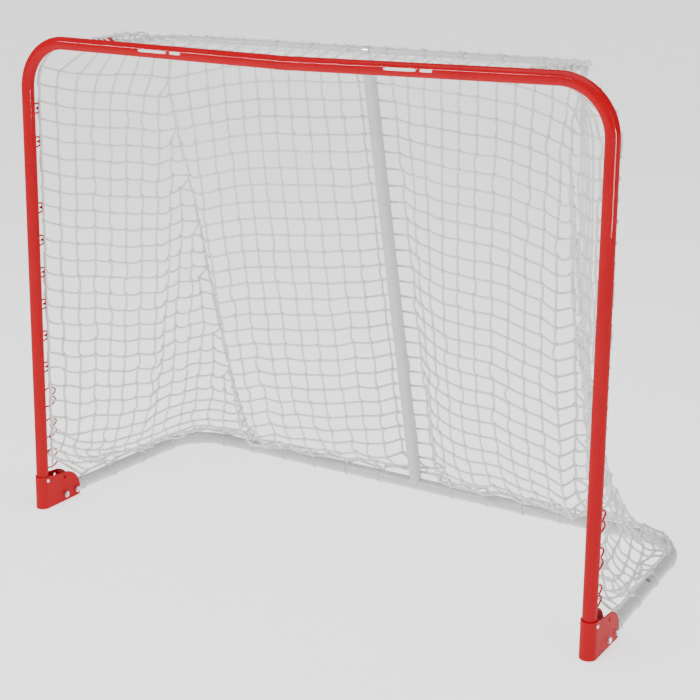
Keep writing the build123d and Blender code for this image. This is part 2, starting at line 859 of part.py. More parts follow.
save(left_corner_tube(), "left_corner_tube")
save(right_corner_tube(), "right_corner_tube")
save(post_joint_screws(), "post_joint_screws")
save(crossbar_joint_screw(), "crossbar_joint_screw")
save(bracket_rivets(), "bracket_rivets")
save(base_bolts(), "base_bolts")
save(base_nuts(), "base_nuts")
save(base_left_tube(), "base_left_tube")
save(base_right_tube(), "base_right_tube")
save(base_joint_screw(), "base_joint_screw")
save(centre_support_tube(), "centre_support_tube")
save(support_top_clip(), "support_top_clip")
save(support_top_bolt(), "support_top_bolt")
save(support_top_nut(), "support_top_nut")
save(support_bottom_plug(), "support_bottom_plug")
save(support_bottom_screw(), "support_bottom_screw")
save(shelf_rod(), "shelf_rod")
save(shelf_screws(), "shelf_screws")
save(shelf_ties(), "shelf_ties")
save(crossbar_cord(), "crossbar_cord")
save(net_top_panel(), "net_top_panel")
save(net_back_panel(), "net_back_panel")
left_panel = net_left_panel()
save(left_panel, "net_left_panel")
save(mirrored(left_panel), "net_right_panel")
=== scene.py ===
"""Looks of the hockey goal: coatings, knotted twine net, wound ties, plain marks and a studio."""

import math

import bpy
import numpy as np
from mathutils import Matrix, Vector


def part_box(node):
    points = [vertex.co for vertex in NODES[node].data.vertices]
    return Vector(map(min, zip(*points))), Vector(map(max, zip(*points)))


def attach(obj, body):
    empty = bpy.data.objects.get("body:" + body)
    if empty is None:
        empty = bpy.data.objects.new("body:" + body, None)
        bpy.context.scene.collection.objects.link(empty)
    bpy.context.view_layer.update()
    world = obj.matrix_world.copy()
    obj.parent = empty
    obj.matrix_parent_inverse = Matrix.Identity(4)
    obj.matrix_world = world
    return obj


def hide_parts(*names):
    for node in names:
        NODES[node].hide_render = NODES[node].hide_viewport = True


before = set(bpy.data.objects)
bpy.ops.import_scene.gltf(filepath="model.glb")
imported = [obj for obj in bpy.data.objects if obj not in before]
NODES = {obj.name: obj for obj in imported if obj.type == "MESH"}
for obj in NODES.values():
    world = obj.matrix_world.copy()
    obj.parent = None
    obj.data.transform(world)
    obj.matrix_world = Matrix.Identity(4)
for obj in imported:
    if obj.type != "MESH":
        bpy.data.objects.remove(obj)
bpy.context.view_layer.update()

# --- Driving sizes, in metres -------------------------------------------------------------------

PITCH = 0.0405  # one mesh of the net
TWINE = 0.0052
HEM_CORD = 0.0060
KNOT_RING = 0.0040
KNOT_TWINE = 0.0040
ROWS = 28
BACK_COLUMNS = 24
SIDE_TOP_COLUMNS = 7
SIDE_HEM_COLUMNS = 16
SAMPLES = 4  # points along one mesh of twine
GATHERED_ROWS = 3  # rows under the shelf whose twine is drawn out to its corner
FRONT_COUNTS = [0, 1, 2, 3, 4.75, 14.75, 22, 28]  # rows, and how far down the post edge they end
FRONT_DISTANCES = [0.114, 0.167, 0.207, 0.246, 0.316, 0.709, 0.994, 1.115]
SEAM_COUNTS = [0, 1, 25, 26, 27, 28]  # rows, and how far down the corner seam they end
SEAM_DISTANCES = [0, 0.100, 1.058, 1.092, 1.116, 1.1345]
TIE_CORD = 0.0022  # cord of the short ties round the base tube and the shelf
HOOK_WIRE = 0.0038
HOOK_PITCH = 0.076
HOOK_FIRST_Z = 0.114
POST_SEAM_Z = 0.826  # joint in the post, where there is no hook
LOOSE_HOOKS = 3  # lowest hooks on a post, which the net does not pull in
EYELET_Y = 0.040
EYELET_LEAN = 0.25
EYELET_R = 0.0036
EYELET_RIM = 0.0024
ROW_SLACK = (0.97, 1.04)  # spread of the twine's length from mesh to mesh
TIE_WIDTH = 0.0068  # along the bar, over two turns
FLOOR_GLOW = 1.15  # keeps the pale floor bright under soft light
WORLD_LIGHT = 0.50


def middle(node, axis):
    low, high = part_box(node)
    return (low[axis] + high[axis]) / 2


TUBE_R = (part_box("right_lower_post")[1].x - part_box("right_lower_post")[0].x) / 2
POST_X = middle("right_lower_post", 0)
POST_Y = middle("right_lower_post", 1)
BAR_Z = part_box("right_corner_tube")[1].z - TUBE_R
BEND = 0.105
BEND_X = POST_X - BEND
BEND_Z = BAR_Z - BEND
BAR_SAG = 0.0085
BACK_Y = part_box("base_right_tube")[1].y - TUBE_R
BASE_Z = middle("base_right_tube", 2)
ROD_R = 0.00635
SHELF_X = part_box("shelf_rod")[1].x - ROD_R
RAIL_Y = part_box("shelf_rod")[1].y - ROD_R
RAIL_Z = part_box("shelf_rod")[0].z + ROD_R
ROD_BEND = 0.060
SHELF_SLOPE = (BAR_Z - RAIL_Z) / (RAIL_Y - POST_Y)
CORNER_X = 0.565
CORNER_Y = BACK_Y - BEND
EDGE_Y = middle("right_post_cord", 1) + 0.003
HEM_Z = BASE_Z + TUBE_R + 0.0065
SIDE_TIES_Y = [-0.1515, -0.0390, 0.0734, CORNER_Y]
BACK_TIES_X = [CORNER_X, 0.472, 0.379, 0.286, 0.193, 0.100]


def shelf_z(y):
    return BAR_Z - SHELF_SLOPE * (y - POST_Y)


def side_x(y):
    """Distance of the base's side tube from the middle of the goal; it toes in behind the bracket."""
    return POST_X - 0.0454 * max(y + 0.165, 0)


# --- Meshes -------------------------------------------------------------------------------------

def add_piece(mesh, material):
    piece = bpy.data.objects.new(mesh.name, mesh)
    bpy.context.scene.collection.objects.link(piece)
    mesh.materials.append(material)
    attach(piece, "root")
    return piece


def unit(vectors):
    return vectors / np.maximum(np.linalg.norm(vectors, axis=-1, keepdims=True), 1e-9)


class Strands:
    """Collects tubes of twine as one mesh, with UVs that run along and round each tube."""

    def __init__(self):
        self.verts = []
        self.faces = []
        self.uvs = []
        self.count = 0

    def tube(self, points, diameter, sides=6, closed=False):
        points = np.asarray(points, float)
        if closed:
            ahead = np.roll(points, -1, axis=0) - np.roll(points, 1, axis=0)
        else:
            ahead = np.gradient(points, axis=0)
        ahead = unit(ahead)
        rough = np.array([0.31, 0.62, 0.72]) if abs(ahead[0, 2]) < 0.8 else np.array([0.83, 0.55, 0.1])
        frames = []
        across = np.cross(ahead[0], rough)
        for direction in ahead:
            across = across - direction * across.dot(direction)
            across = across / np.linalg.norm(across)
            frames.append(across)
        across = np.array(frames)
        other = np.cross(ahead, across)
        turns = np.arange(sides) * 2 * math.pi / sides
        cosine, sine = np.cos(turns)[None, :, None], np.sin(turns)[None, :, None]
        circle = cosine * across[:, None] + sine * other[:, None]
        ring = points[:, None] + circle * diameter / 2
        n = len(points)
        self.verts.append(ring.reshape(-1, 3))
        steps = np.linalg.norm(np.diff(points, axis=0), axis=1)
        along = np.concatenate([[0], np.cumsum(steps)]) / (diameter * 3)
        spans = n if closed else n - 1
        for i in range(spans):
            a, b = i * sides, ((i + 1) % n) * sides
            u0 = along[i]
            u1 = along[i + 1] if i + 1 < n else along[i] + 1
            for k in range(sides):
                m = (k + 1) % sides
                corners = (a + k, a + m, b + m, b + k)
                self.faces.append([c + self.count for c in corners])
                v0, v1 = k / sides, (k + 1) / sides
                self.uvs.extend([(u0, v0), (u0, v1), (u1, v1), (u1, v0)])
        if not closed:
            self.faces.append([self.count + k for k in reversed(range(sides))])
            self.faces.append([self.count + (n - 1) * sides + k for k in range(sides)])
            self.uvs.extend([(0.0, k / sides) for k in range(sides)])
            self.uvs.extend([(along[-1], k / sides) for k in range(sides)])
        self.count += n * sides

    def mesh(self, name):
        mesh = bpy.data.meshes.new(name)
        mesh.from_pydata(np.concatenate(self.verts).tolist(), [], self.faces)
        layer = mesh.uv_layers.new(name="twist")
        layer.data.foreach_set("uv", np.array(self.uvs, dtype=np.float32).ravel())
        mesh.polygons.foreach_set("use_smooth", [True] * len(mesh.polygons))
        mesh.update()
        return mesh


# --- Net: knots held at the edges, hanging on twine that can't stretch ---------------------------

def path_at(points, distances):
    """Points at those distances along a chain of points."""
    points = np.asarray(points, float)
    steps = np.linalg.norm(np.diff(points, axis=0), axis=1)
    along = np.concatenate([[0], np.cumsum(steps)])
    return np.stack([np.interp(distances, along, points[:, k]) for k in range(3)], axis=1), along[-1]


def spread(points, count):
    """count + 1 points, evenly spaced along a chain of points."""
    _, total = path_at(points, [0.0])
    return path_at(points, np.linspace(0, total, count + 1))[0]


def spaced(points, counts, distances):
    """A point for each row, at distances that are set at a few rows and even between them."""
    return path_at(points, np.interp(np.arange(ROWS + 1), counts, distances))[0]


def relax(points, held, links, rest, obstacle=None, steps=260, sweeps=14):
    """Lets the free knots hang. Twine resists only stretching, and a mesh can't fold shut."""
    points = points.copy()
    before = points.copy()
    free = ~held
    a, b = links[:, 0], links[:, 1]
    shares = np.zeros(len(points))
    np.add.at(shares, a, 1)
    np.add.at(shares, b, 1)
    shares = np.maximum(shares, 1)[:, None]
    pull = free[a].astype(float) + free[b].astype(float)
    pull = np.where(pull == 0, 1, pull)
    for step in range(steps):
        drift = (points - before) * 0.90
        before = points.copy()
        points[free] += drift[free] + np.array([0, 0, -0.00022])
        for sweep in range(sweeps):
            span = points[b] - points[a]
            size = np.linalg.norm(span, axis=1)
            excess = np.maximum(size - rest, 0) + 0.3 * np.minimum(size - rest * 0.72, 0)
            move = span * (excess / np.maximum(size, 1e-6) / pull)[:, None]
            total = np.zeros_like(points)
            np.add.at(total, a, move)
            np.add.at(total, b, -move)
            points[free] += (total / shares * 1.9)[free]
            if obstacle:
                obstacle(points, free)
    return points


def thread(knots, rest, rng, wave=0.0016):
    """Smooth line through knots. Spare twine between two knots hangs as a small bow."""
    knots = np.asarray(knots, float)
    padded = np.concatenate([[2 * knots[0] - knots[1]], knots, [2 * knots[-1] - knots[-2]]])
    line = []
    for i in range(len(knots) - 1):
        p0, p1, p2, p3 = padded[i:i + 4]
        chord = np.linalg.norm(p2 - p1)
        spare = max(rest - chord, 0.0)
        bow = min(math.sqrt(0.375 * chord * spare), 0.010) * rng.uniform(0.35, 0.9)
        aside = rng.normal(size=3) * np.array([1, 1, 0.6]) + np.array([0, 0, -0.9])
        aside -= unit(p2 - p1) * aside.dot(unit(p2 - p1))
        aside = unit(aside) * (bow + wave * rng.uniform(0, 1))
        for k in range(SAMPLES):
            t = k / SAMPLES
            curve = catmull(p0, p1, p2, p3, t)
            straight = p1 + (p2 - p1) * t
            line.append(0.55 * curve + 0.45 * straight + aside * 4 * t * (1 - t))
    line.append(knots[-1])
    return np.array(line)


def knot(strands, centre, a, b, rng):
    """Two short turns of twine crossed over the place where strands a and b meet."""
    face = unit(np.cross(a, b))
    for sign in (-1, 1):
        axis = unit(a + sign * b)
        other = unit(np.cross(face, axis))
        turns = np.arange(7) * 2 * math.pi / 7 + rng.uniform(0, 1)
        size = KNOT_RING * rng.uniform(0.85, 1.15)
        ring = centre + size * (np.cos(turns)[:, None] * other + 0.8 * np.sin(turns)[:, None] * face)
        strands.tube(ring, KNOT_TWINE, sides=5, closed=True)


def net_piece(name, grid, rest, edges, rng, replaced):
    """Twine along every row and column of a grid of knots, where rows may end early (NaN knots)."""
    strands = Strands()
    rows, columns = grid.shape[:2]
    there = ~np.isnan(grid[:, :, 0])
    for i in range(rows):
        chain = grid[i][there[i]]
        heavy = (i == 0 and "top" in edges) or (i == rows - 1 and "hem" in edges)
        strands.tube(thread(chain, rest, rng), HEM_CORD if heavy else TWINE)
    for j in range(columns):
        chain = grid[:, j][there[:, j]]
        if len(chain) < 2:
            continue
        heavy = (j == 0 and "first" in edges) or (j == columns - 1 and "last" in edges)
        strands.tube(thread(chain, rest, rng), HEM_CORD if heavy else TWINE)
    for i in range(rows):
        for j in range(columns):
            if there[i, j]:
                side = j + 1 if j + 1 < columns and there[i, j + 1] else j - 1
                down = i + 1 if i + 1 < rows and there[i + 1, j] else i - 1
                if side < 0 or down < 0 or not there[i, side] or not there[down, j]:
                    continue
                across, along = grid[i, side] - grid[i, j], grid[down, j] - grid[i, j]
                knot(strands, grid[i, j], unit(across), unit(along), rng)
    piece = add_piece(strands.mesh(name), MATERIALS["white_net"])
    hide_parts(replaced)
    return piece


def grid_links(shape, there, rest_across, rest_down):
    index = np.arange(shape[0] * shape[1]).reshape(shape)
    pairs = []
    rests = []
    for i in range(shape[0]):
        for j in range(shape[1]):
            if j + 1 < shape[1] and there[i, j] and there[i, j + 1]:
                pairs.append((index[i, j], index[i, j + 1]))
                rests.append(rest_across)
            if i + 1 < shape[0] and there[i, j] and there[i + 1, j]:
                pairs.append((index[i, j], index[i + 1, j]))
                rests.append(rest_down)
    return np.array(pairs), np.array(rests)


def hang(grid, held, rest_across, rest_down, rng, obstacle=None):
    there = ~np.isnan(grid[:, :, 0])
    links, rest = grid_links(grid.shape[:2], there, rest_across, rest_down)
    rest = rest * rng.uniform(*ROW_SLACK, len(rest))
    flat = np.nan_to_num(grid.reshape(-1, 3))
    columns = grid.shape[1]
    top_links = np.max(links // columns, axis=1) <= GATHERED_ROWS
    drawn = np.linalg.norm(flat[links[:, 0]] - flat[links[:, 1]], axis=1)
    rest = np.where(top_links, np.maximum(rest, drawn * 0.97), rest)
    result = relax(flat, held.ravel() | ~there.ravel(), links, rest, obstacle)
    result = result.reshape(grid.shape)
    result[~there] = np.nan
    return result


# Edges of the net on the right of the goal. The left is their mirror image.

def shelf_edge():
    """Top edge, from the crossbar along an arm and round to the middle of the rail."""
    out = ROD_R + 0.004
    points = []
    for t in np.linspace(0, 1, 9):
        y = EDGE_Y + t * (RAIL_Y - ROD_BEND - EDGE_Y)
        lift = 0.006 + 0.012 * math.sin(math.pi * t)
        points.append((SHELF_X + out, y, shelf_z(y) + lift))
    for turn in np.linspace(0, math.pi / 2, 8)[1:]:
        x = SHELF_X - ROD_BEND + (ROD_BEND + out) * math.cos(turn)
        y = RAIL_Y - ROD_BEND + (ROD_BEND + out) * math.sin(turn)
        points.append((x, y, shelf_z(y) + 0.006))
    points.append((0.0, RAIL_Y + out, RAIL_Z + 0.006))
    return np.array(points)


def post_edge():
    """Front edge of a side, from the shelf socket round the bend and down the post."""
    points = [(SHELF_X + 0.017, EDGE_Y, BAR_Z + 0.002)]
    for turn in np.linspace(math.pi / 2, 0, 10):
        points.append((BEND_X + BEND * math.cos(turn), EDGE_Y, BEND_Z + BEND * math.sin(turn)))
    points.append((POST_X - 0.003, EDGE_Y, 0.098))
    return np.array(points)


def seam_edge():
    """Corner seam between side and back, pulled in and forward from the frame."""
    corner = ROD_BEND * (1 - math.sqrt(0.5)) - 0.007
    return np.array([
        (SHELF_X - corner, RAIL_Y - corner, RAIL_Z + 0.006),
        (0.503, -0.008, 1.040),
        (0.497, -0.024, 0.980),
        (0.487, -0.002, 0.880),
        (0.481, 0.027, 0.780),
        (0.476, 0.053, 0.680),
        (0.474, 0.078, 0.580),
        (0.470, 0.104, 0.480),
        (0.465, 0.129, 0.380),
        (0.460, 0.155, 0.280),
        (0.450, 0.184, 0.180),
        (0.446, 0.215, 0.105),
        (0.455, 0.262, 0.056),
        (0.472, BACK_Y - 0.004, HEM_Z),
    ])


def base_edge():
    """Bottom edge, from the bracket back along the base tube and round its corner."""
    points = [(side_x(y), y, HEM_Z) for y in (-0.158, -0.10, 0.0, 0.1)]
    for turn in np.linspace(0, math.pi / 2, 8):
        x = CORNER_X + BEND * math.cos(turn) - 0.002
        points.append((x, CORNER_Y + BEND * math.sin(turn), HEM_Z))
    points.append((0.472, BACK_Y - 0.004, HEM_Z))
    return np.array(points)


def side_grid(rng):
    """Knots of the right side: a trapezoid, its rows ending on the seam."""
    front = spaced(post_edge(), FRONT_COUNTS, FRONT_DISTANCES)
    seam = spaced(seam_edge(), SEAM_COUNTS, SEAM_DISTANCES)
    top = spread(shelf_edge()[:12], SIDE_TOP_COLUMNS)
    hem = spread(base_edge(), SIDE_HEM_COLUMNS)
    shape = (ROWS + 1, SIDE_HEM_COLUMNS + 1)
    grid = np.full((*shape, 3), np.nan)
    held = np.zeros(shape, bool)
    bulge_line = hem - np.linspace(hem[0], hem[-1], SIDE_HEM_COLUMNS + 1)
    for i in range(ROWS + 1):
        width = SIDE_TOP_COLUMNS + (SIDE_HEM_COLUMNS - SIDE_TOP_COLUMNS) * i / ROWS
        last = int(round(width))
        for j in range(last + 1):
            t = j / last
            point = front[i] + (seam[i] - front[i]) * t
            fall = (i / ROWS) ** 5
            k = t * SIDE_HEM_COLUMNS
            bulge = [np.interp(k, range(len(hem)), bulge_line[:, c]) for c in range(3)]
            point = point + fall * np.array(bulge)
            grid[i, j] = point
        grid[i, last] = seam[i]
        held[i, 0] = True
        held[i, last] = True
    grid[0, 1:SIDE_TOP_COLUMNS + 1] = top[1:]
    held[0, :] = True
    grid[0, SIDE_TOP_COLUMNS] = seam[0]
    grid[ROWS, 1:] = hem[1:]
    grid[ROWS, 0] = front[ROWS]
    for y in SIDE_TIES_Y[:3]:
        j = int(np.argmin(np.abs(hem[:, 1] - y) + (hem[:, 0] < CORNER_X) * 9))
        hold_at_tie(grid, held, j, (side_x(y) - 0.002, y, HEM_Z))
    for turn in (0, math.pi / 4, math.pi / 2):
        spot = np.array((CORNER_X + BEND * math.cos(turn), CORNER_Y + BEND * math.sin(turn), HEM_Z))
        j = int(np.argmin(np.linalg.norm(hem - spot, axis=1)))
        hold_at_tie(grid, held, j, spot)
    held[ROWS, SIDE_HEM_COLUMNS] = True
    return grid, held


def hold_at_tie(grid, held, j, spot):
    """A tie gathers the hem: knot j is on the tube and its neighbours are drawn towards it."""
    spot = np.asarray(spot, float)
    grid[-1, j] = spot
    held[-1, j] = True
    for near in (j - 1, j + 1):
        if 0 < near < grid.shape[1] - 1 and not held[-1, near]:
            grid[-1, near] = spot + (grid[-1, near] - spot) * 0.62 + np.array([0, 0, 0.004])
            held[-1, near] = True


def back_grid():
    """Knots of the back, between the two seams."""
    seam = spaced(seam_edge(), SEAM_COUNTS, SEAM_DISTANCES)
    rail = shelf_edge()[11:]
    half = spread(rail, BACK_COLUMNS // 2)
    grid = np.zeros((ROWS + 1, BACK_COLUMNS + 1, 3))
    held = np.zeros(grid.shape[:2], bool)
    for i in range(ROWS + 1):
        for j in range(BACK_COLUMNS + 1):
            t = 2 * j / BACK_COLUMNS - 1
            down = i / ROWS
            plane_y = RAIL_Y + ROD_R + 0.004 + (BACK_Y - RAIL_Y) * down
            y = plane_y + (seam[i, 1] - plane_y) * abs(t) ** 3
            centre_z = RAIL_Z + (HEM_Z - RAIL_Z) * down
            z = centre_z + (seam[i, 2] - centre_z) * abs(t) ** 3
            grid[i, j] = (seam[i, 0] * t, y, z)
    grid[0, BACK_COLUMNS // 2:] = half[::-1]
    grid[0, :BACK_COLUMNS // 2 + 1] = half * np.array([-1, 1, 1])
    held[0, :] = held[:, 0] = held[:, -1] = True
    for side in (-1, 1):
        for x in BACK_TIES_X[2:]:
            j = int(round((side * x / 0.472 + 1) / 2 * BACK_COLUMNS))
            hold_at_tie(grid, held, j, (side * x, BACK_Y - 0.003, HEM_Z))
    return grid, held


def behind_support(points, free):
    """The back hangs behind the centre support tube."""
    low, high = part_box("centre_support_tube")
    share = np.clip((high.z - points[:, 2]) / (high.z - low.z), 0, 1)
    limit = low.y + TUBE_R + (high.y - low.y - 2 * TUBE_R) * share + TUBE_R + 0.005
    near = free & (np.abs(points[:, 0]) < 0.045) & (points[:, 1] < limit)
    points[near, 1] = limit[near]
    over_bar(points, free)


def over_bar(points, free):
    """Near the bottom the net lies over the base tube and no lower."""
    points[free, 2] = np.maximum(points[free, 2], HEM_Z + 0.008)


def top_grid():
    """Knots of the net over the shelf, from the crossbar back to the rail."""
    edge = shelf_edge()
    arm = spread(edge[:12], SIDE_TOP_COLUMNS)
    rail = spread(edge[11:], BACK_COLUMNS // 2)
    rear = np.concatenate([rail * np.array([-1, 1, 1]), rail[::-1][1:]])
    grid = np.zeros((SIDE_TOP_COLUMNS + 1, BACK_COLUMNS + 1, 3))
    held = np.zeros(grid.shape[:2], bool)
    for j in range(BACK_COLUMNS + 1):
        t = 2 * j / BACK_COLUMNS - 1
        x = (SHELF_X + 0.010) * t
        sag = BAR_SAG * (1 - abs(x) / BEND_X)
        front = np.array((x, EDGE_Y, BAR_Z - sag + 0.006))
        for i in range(SIDE_TOP_COLUMNS + 1):
            grid[i, j] = front + (rear[j] - front) * i / SIDE_TOP_COLUMNS
    grid[:, -1] = arm
    grid[:, 0] = arm * np.array([-1, 1, 1])
    held[0, :] = held[-1, :] = held[:, 0] = held[:, -1] = True
    return grid, held


def make_net():
    rng = np.random.default_rng(7)
    back, held = back_grid()
    back = hang(back, held, PITCH * 1.05, PITCH * 0.955, rng, behind_support)
    net_piece("back_net", back, PITCH, ("top", "hem", "first", "last"), rng, "net_back_panel")
    for side, word in ((-1, "left"), (1, "right")):
        grid, held = side_grid(rng)
        grid = hang(grid, held, PITCH, PITCH * 0.945, rng, over_bar) * np.array([side, 1, 1])
        net_piece(f"{word}_side_net", grid, PITCH, ("top", "hem", "first"), rng, f"net_{word}_panel")
    top, held = top_grid()
    top = hang(top, held, PITCH * 1.10, PITCH * 1.04, rng)
    net_piece("top_net", top, PITCH * 1.06, ("top",), rng, "net_top_panel")


# --- Ties and windings of cord -------------------------------------------------------------------

def wound(strands, centre, axis, up, radius, turns, width, cord, tails=True):
    """Cord wound round a bar, with a knot and two tails on top."""
    axis, up = unit(np.asarray(axis, float)), np.asarray(up, float)
    up = unit(up - axis * up.dot(axis))
    other = np.cross(axis, up)
    centre = np.asarray(centre, float)
    angle = np.linspace(0, turns * 2 * math.pi, int(turns * 20) + 1)
    across = np.linspace(-width / 2, width / 2, len(angle))
    coil = centre + axis * across[:, None] + radius * (
        np.cos(angle)[:, None] * up + np.sin(angle)[:, None] * other
    )
    strands.tube(coil, cord)
    if not tails:
        return
    top = centre + up * (radius + cord * 0.55)
    ring_angle = np.arange(10) * 2 * math.pi / 10
    for tilt in (-0.6, 0.6):
        lean = unit(axis + other * tilt)
        flat = np.cross(lean, up)
        ring = top + 0.0030 * (np.cos(ring_angle)[:, None] * lean + np.sin(ring_angle)[:, None] * flat)
        strands.tube(ring + up * 0.001, cord * 0.9, closed=True)
    for sign in (-1, 1):
        tail = []
        for d in np.linspace(0.002, 0.013, 6):
            rise = (0.004 * d / 0.012) * (1 - d / 0.02)
            tail.append(top + up * 0.001 + sign * axis * d + up * rise - other * sign * d * 0.4)
        strands.tube(tail, cord * 0.8)


def base_ties(word, side):
    strands = Strands()
    radius = TUBE_R + TIE_CORD / 2 + 0.0003
    places = [((side * side_x(y), y), (0, 1, 0)) for y in SIDE_TIES_Y]
    places += [((side * x, BACK_Y), (1, 0, 0)) for x in BACK_TIES_X]
    turn = math.pi / 4
    corner = (side * (CORNER_X + BEND * math.cos(turn)), CORNER_Y + BEND * math.sin(turn))
    places.append((corner, (-side, 1, 0)))
    for (x, y), axis in places:
        wound(strands, (x, y, BASE_Z), axis, (0, 0, 1), radius, 2, TIE_WIDTH, TIE_CORD)
    piece = add_piece(strands.mesh(f"{word}_base_lashings"), MATERIALS["white_cord"])
    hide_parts(f"{word}_base_ties")


def shelf_ties():
    strands = Strands()
    radius = ROD_R + TIE_CORD / 2 + 0.0003
    for side in (-1, 1):
        for y in (-0.1815, -0.0915):
            spot = (side * SHELF_X, y, shelf_z(y))
            wound(strands, spot, (0, 1, 0), (side, 0, 1), radius, 2, TIE_WIDTH, TIE_CORD)
        for k in range(5):
            x = side * (0.050 + 0.090 * k)
            wound(strands, (x, RAIL_Y, RAIL_Z), (1, 0, 0), (0, 1, 1), radius, 2, TIE_WIDTH, TIE_CORD)
    piece = add_piece(strands.mesh("shelf_lashings"), MATERIALS["white_cord"])
    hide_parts("shelf_ties")


def socket_windings(word, side):
    """Edge cord spiralled over the shelf socket behind the crossbar."""
    radius = 0.011 + TWINE / 2 + 0.0003
    y = POST_Y + TUBE_R + 0.030
    strands = Strands()
    wound(strands, (side * SHELF_X, y, shelf_z(y)), (0, 1, -SHELF_SLOPE), (0, 0, 1), radius, 2.5, 0.040,
          TWINE, tails=False)
    add_piece(strands.mesh(f"{word}_socket_winding"), MATERIALS["white_cord"])


# --- Net hooks ------------------------------------------------------------------------------------

def post_hooks(word, side):
    """Wire bent to a W, both ends on the post, its outline in mm back and up from the post.

    The net pulls all but the lowest ones in.
    """
    outline = [(0, 17), (9, 21), (24, 22), (37, 17), (41, 10), (33, 3), (21, 0)]
    outline = outline + [(y, -z) for y, z in reversed(outline[:-1])]
    strands = Strands()
    for k in range(12):
        z = HOOK_FIRST_Z + HOOK_PITCH * k
        if abs(z - POST_SEAM_Z) < 0.030 or z > BEND_Z:
            continue
        size = 0.001 if k < LOOSE_HOOKS else 0.0005
        wire = [(side * POST_X, POST_Y + TUBE_R + a * size, z + b * size) for a, b in outline]
        strands.tube(smooth(wire), HOOK_WIRE, sides=8)
    piece = add_piece(strands.mesh(f"{word}_bent_hooks"), MATERIALS["red_paint"])
    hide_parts(f"{word}_post_hooks")


def smooth(points, samples=5):
    """Catmull-Rom line through the points."""
    points = np.asarray(points, float)
    ends = np.concatenate([[2 * points[0] - points[1]], points, [2 * points[-1] - points[-2]]])
    line = []
    for i in range(len(points) - 1):
        p0, p1, p2, p3 = ends[i:i + 4]
        for k in range(samples):
            t = k / samples
            line.append(catmull(p0, p1, p2, p3, t))
    line.append(points[-1])
    return np.array(line)


def catmull(p0, p1, p2, p3, t):
    bend = 2 * p0 - 5 * p1 + 4 * p2 - p3
    return 0.5 * (2 * p1 + (p2 - p0) * t + bend * t * t + (3 * p1 - p0 - 3 * p2 + p3) * t ** 3)


# --- Eyelet ---------------------------------------------------------------------------------------

def base_eyelet():
    """Small black eyelet on the top of the right base tube, turned a little outward."""
    out = Vector((math.sin(EYELET_LEAN), 0, math.cos(EYELET_LEAN)))
    aside = Vector((math.cos(EYELET_LEAN), 0, -math.sin(EYELET_LEAN)))
    along = Vector((0, 1, 0))
    centre = Vector((side_x(EYELET_Y), EYELET_Y, BASE_Z)) + out * TUBE_R
    ring = []
    for turn in np.linspace(0, 2 * math.pi, 18, endpoint=False):
        ring.append(centre + (aside * math.cos(turn) + along * math.sin(turn)) * EYELET_R)
    strands = Strands()
    strands.tube(ring, EYELET_RIM, sides=8, closed=True)
    add_piece(strands.mesh("right_base_eyelet"), MATERIALS["black_plastic"])


# --- Plain marks on the crossbar ------------------------------------------------------------------

def tube_patch(name, x_from, x_to, turn_from, turn_to):
    """Thin plain patch that follows the front of the crossbar, a hair above its coating."""
    radius = TUBE_R + 0.00025
    verts = []
    columns, rows = 12, 6
    for i in range(columns + 1):
        x = x_from + (x_to - x_from) * i / columns
        for k in range(rows + 1):
            end = abs(2 * i / columns - 1)
            squeeze = 1 - 0.35 * end ** 8
            turn = (turn_from + turn_to) / 2 + (turn_to - turn_from) * (k / rows - 0.5) * squeeze
            z = bar_z(x) + radius * math.sin(turn)
            verts.append((x, POST_Y - radius * math.cos(turn), z))
    faces = []
    for i in range(columns):
        for k in range(rows):
            a = i * (rows + 1) + k
            faces.append((a, a + rows + 1, a + rows + 2, a + 1))
    mesh = bpy.data.meshes.new(name)
    mesh.from_pydata(verts, [], faces)
    mesh.polygons.foreach_set("use_smooth", [True] * len(mesh.polygons))
    piece = add_piece(mesh, MATERIALS["white_mark"])
    solid = piece.modifiers.new("film", "SOLIDIFY")
    solid.thickness = 0.0002
    solid.offset = 1
    return piece


def bar_z(x):
    return BAR_Z - BAR_SAG * (1 - min(abs(x) / BEND_X, 1))


def marks():
    for k, (start, end) in enumerate(((-0.361, -0.252), (0.228, 0.332))):
        third = (end - start) / 3
        tube_patch(f"plain_mark_{k}_long", start, start + 2 * third, -0.10, 0.28)
        tube_patch(f"plain_mark_{k}_short", start + 2.25 * third, end, -0.10, 0.28)


# --- Materials ------------------------------------------------------------------------------------

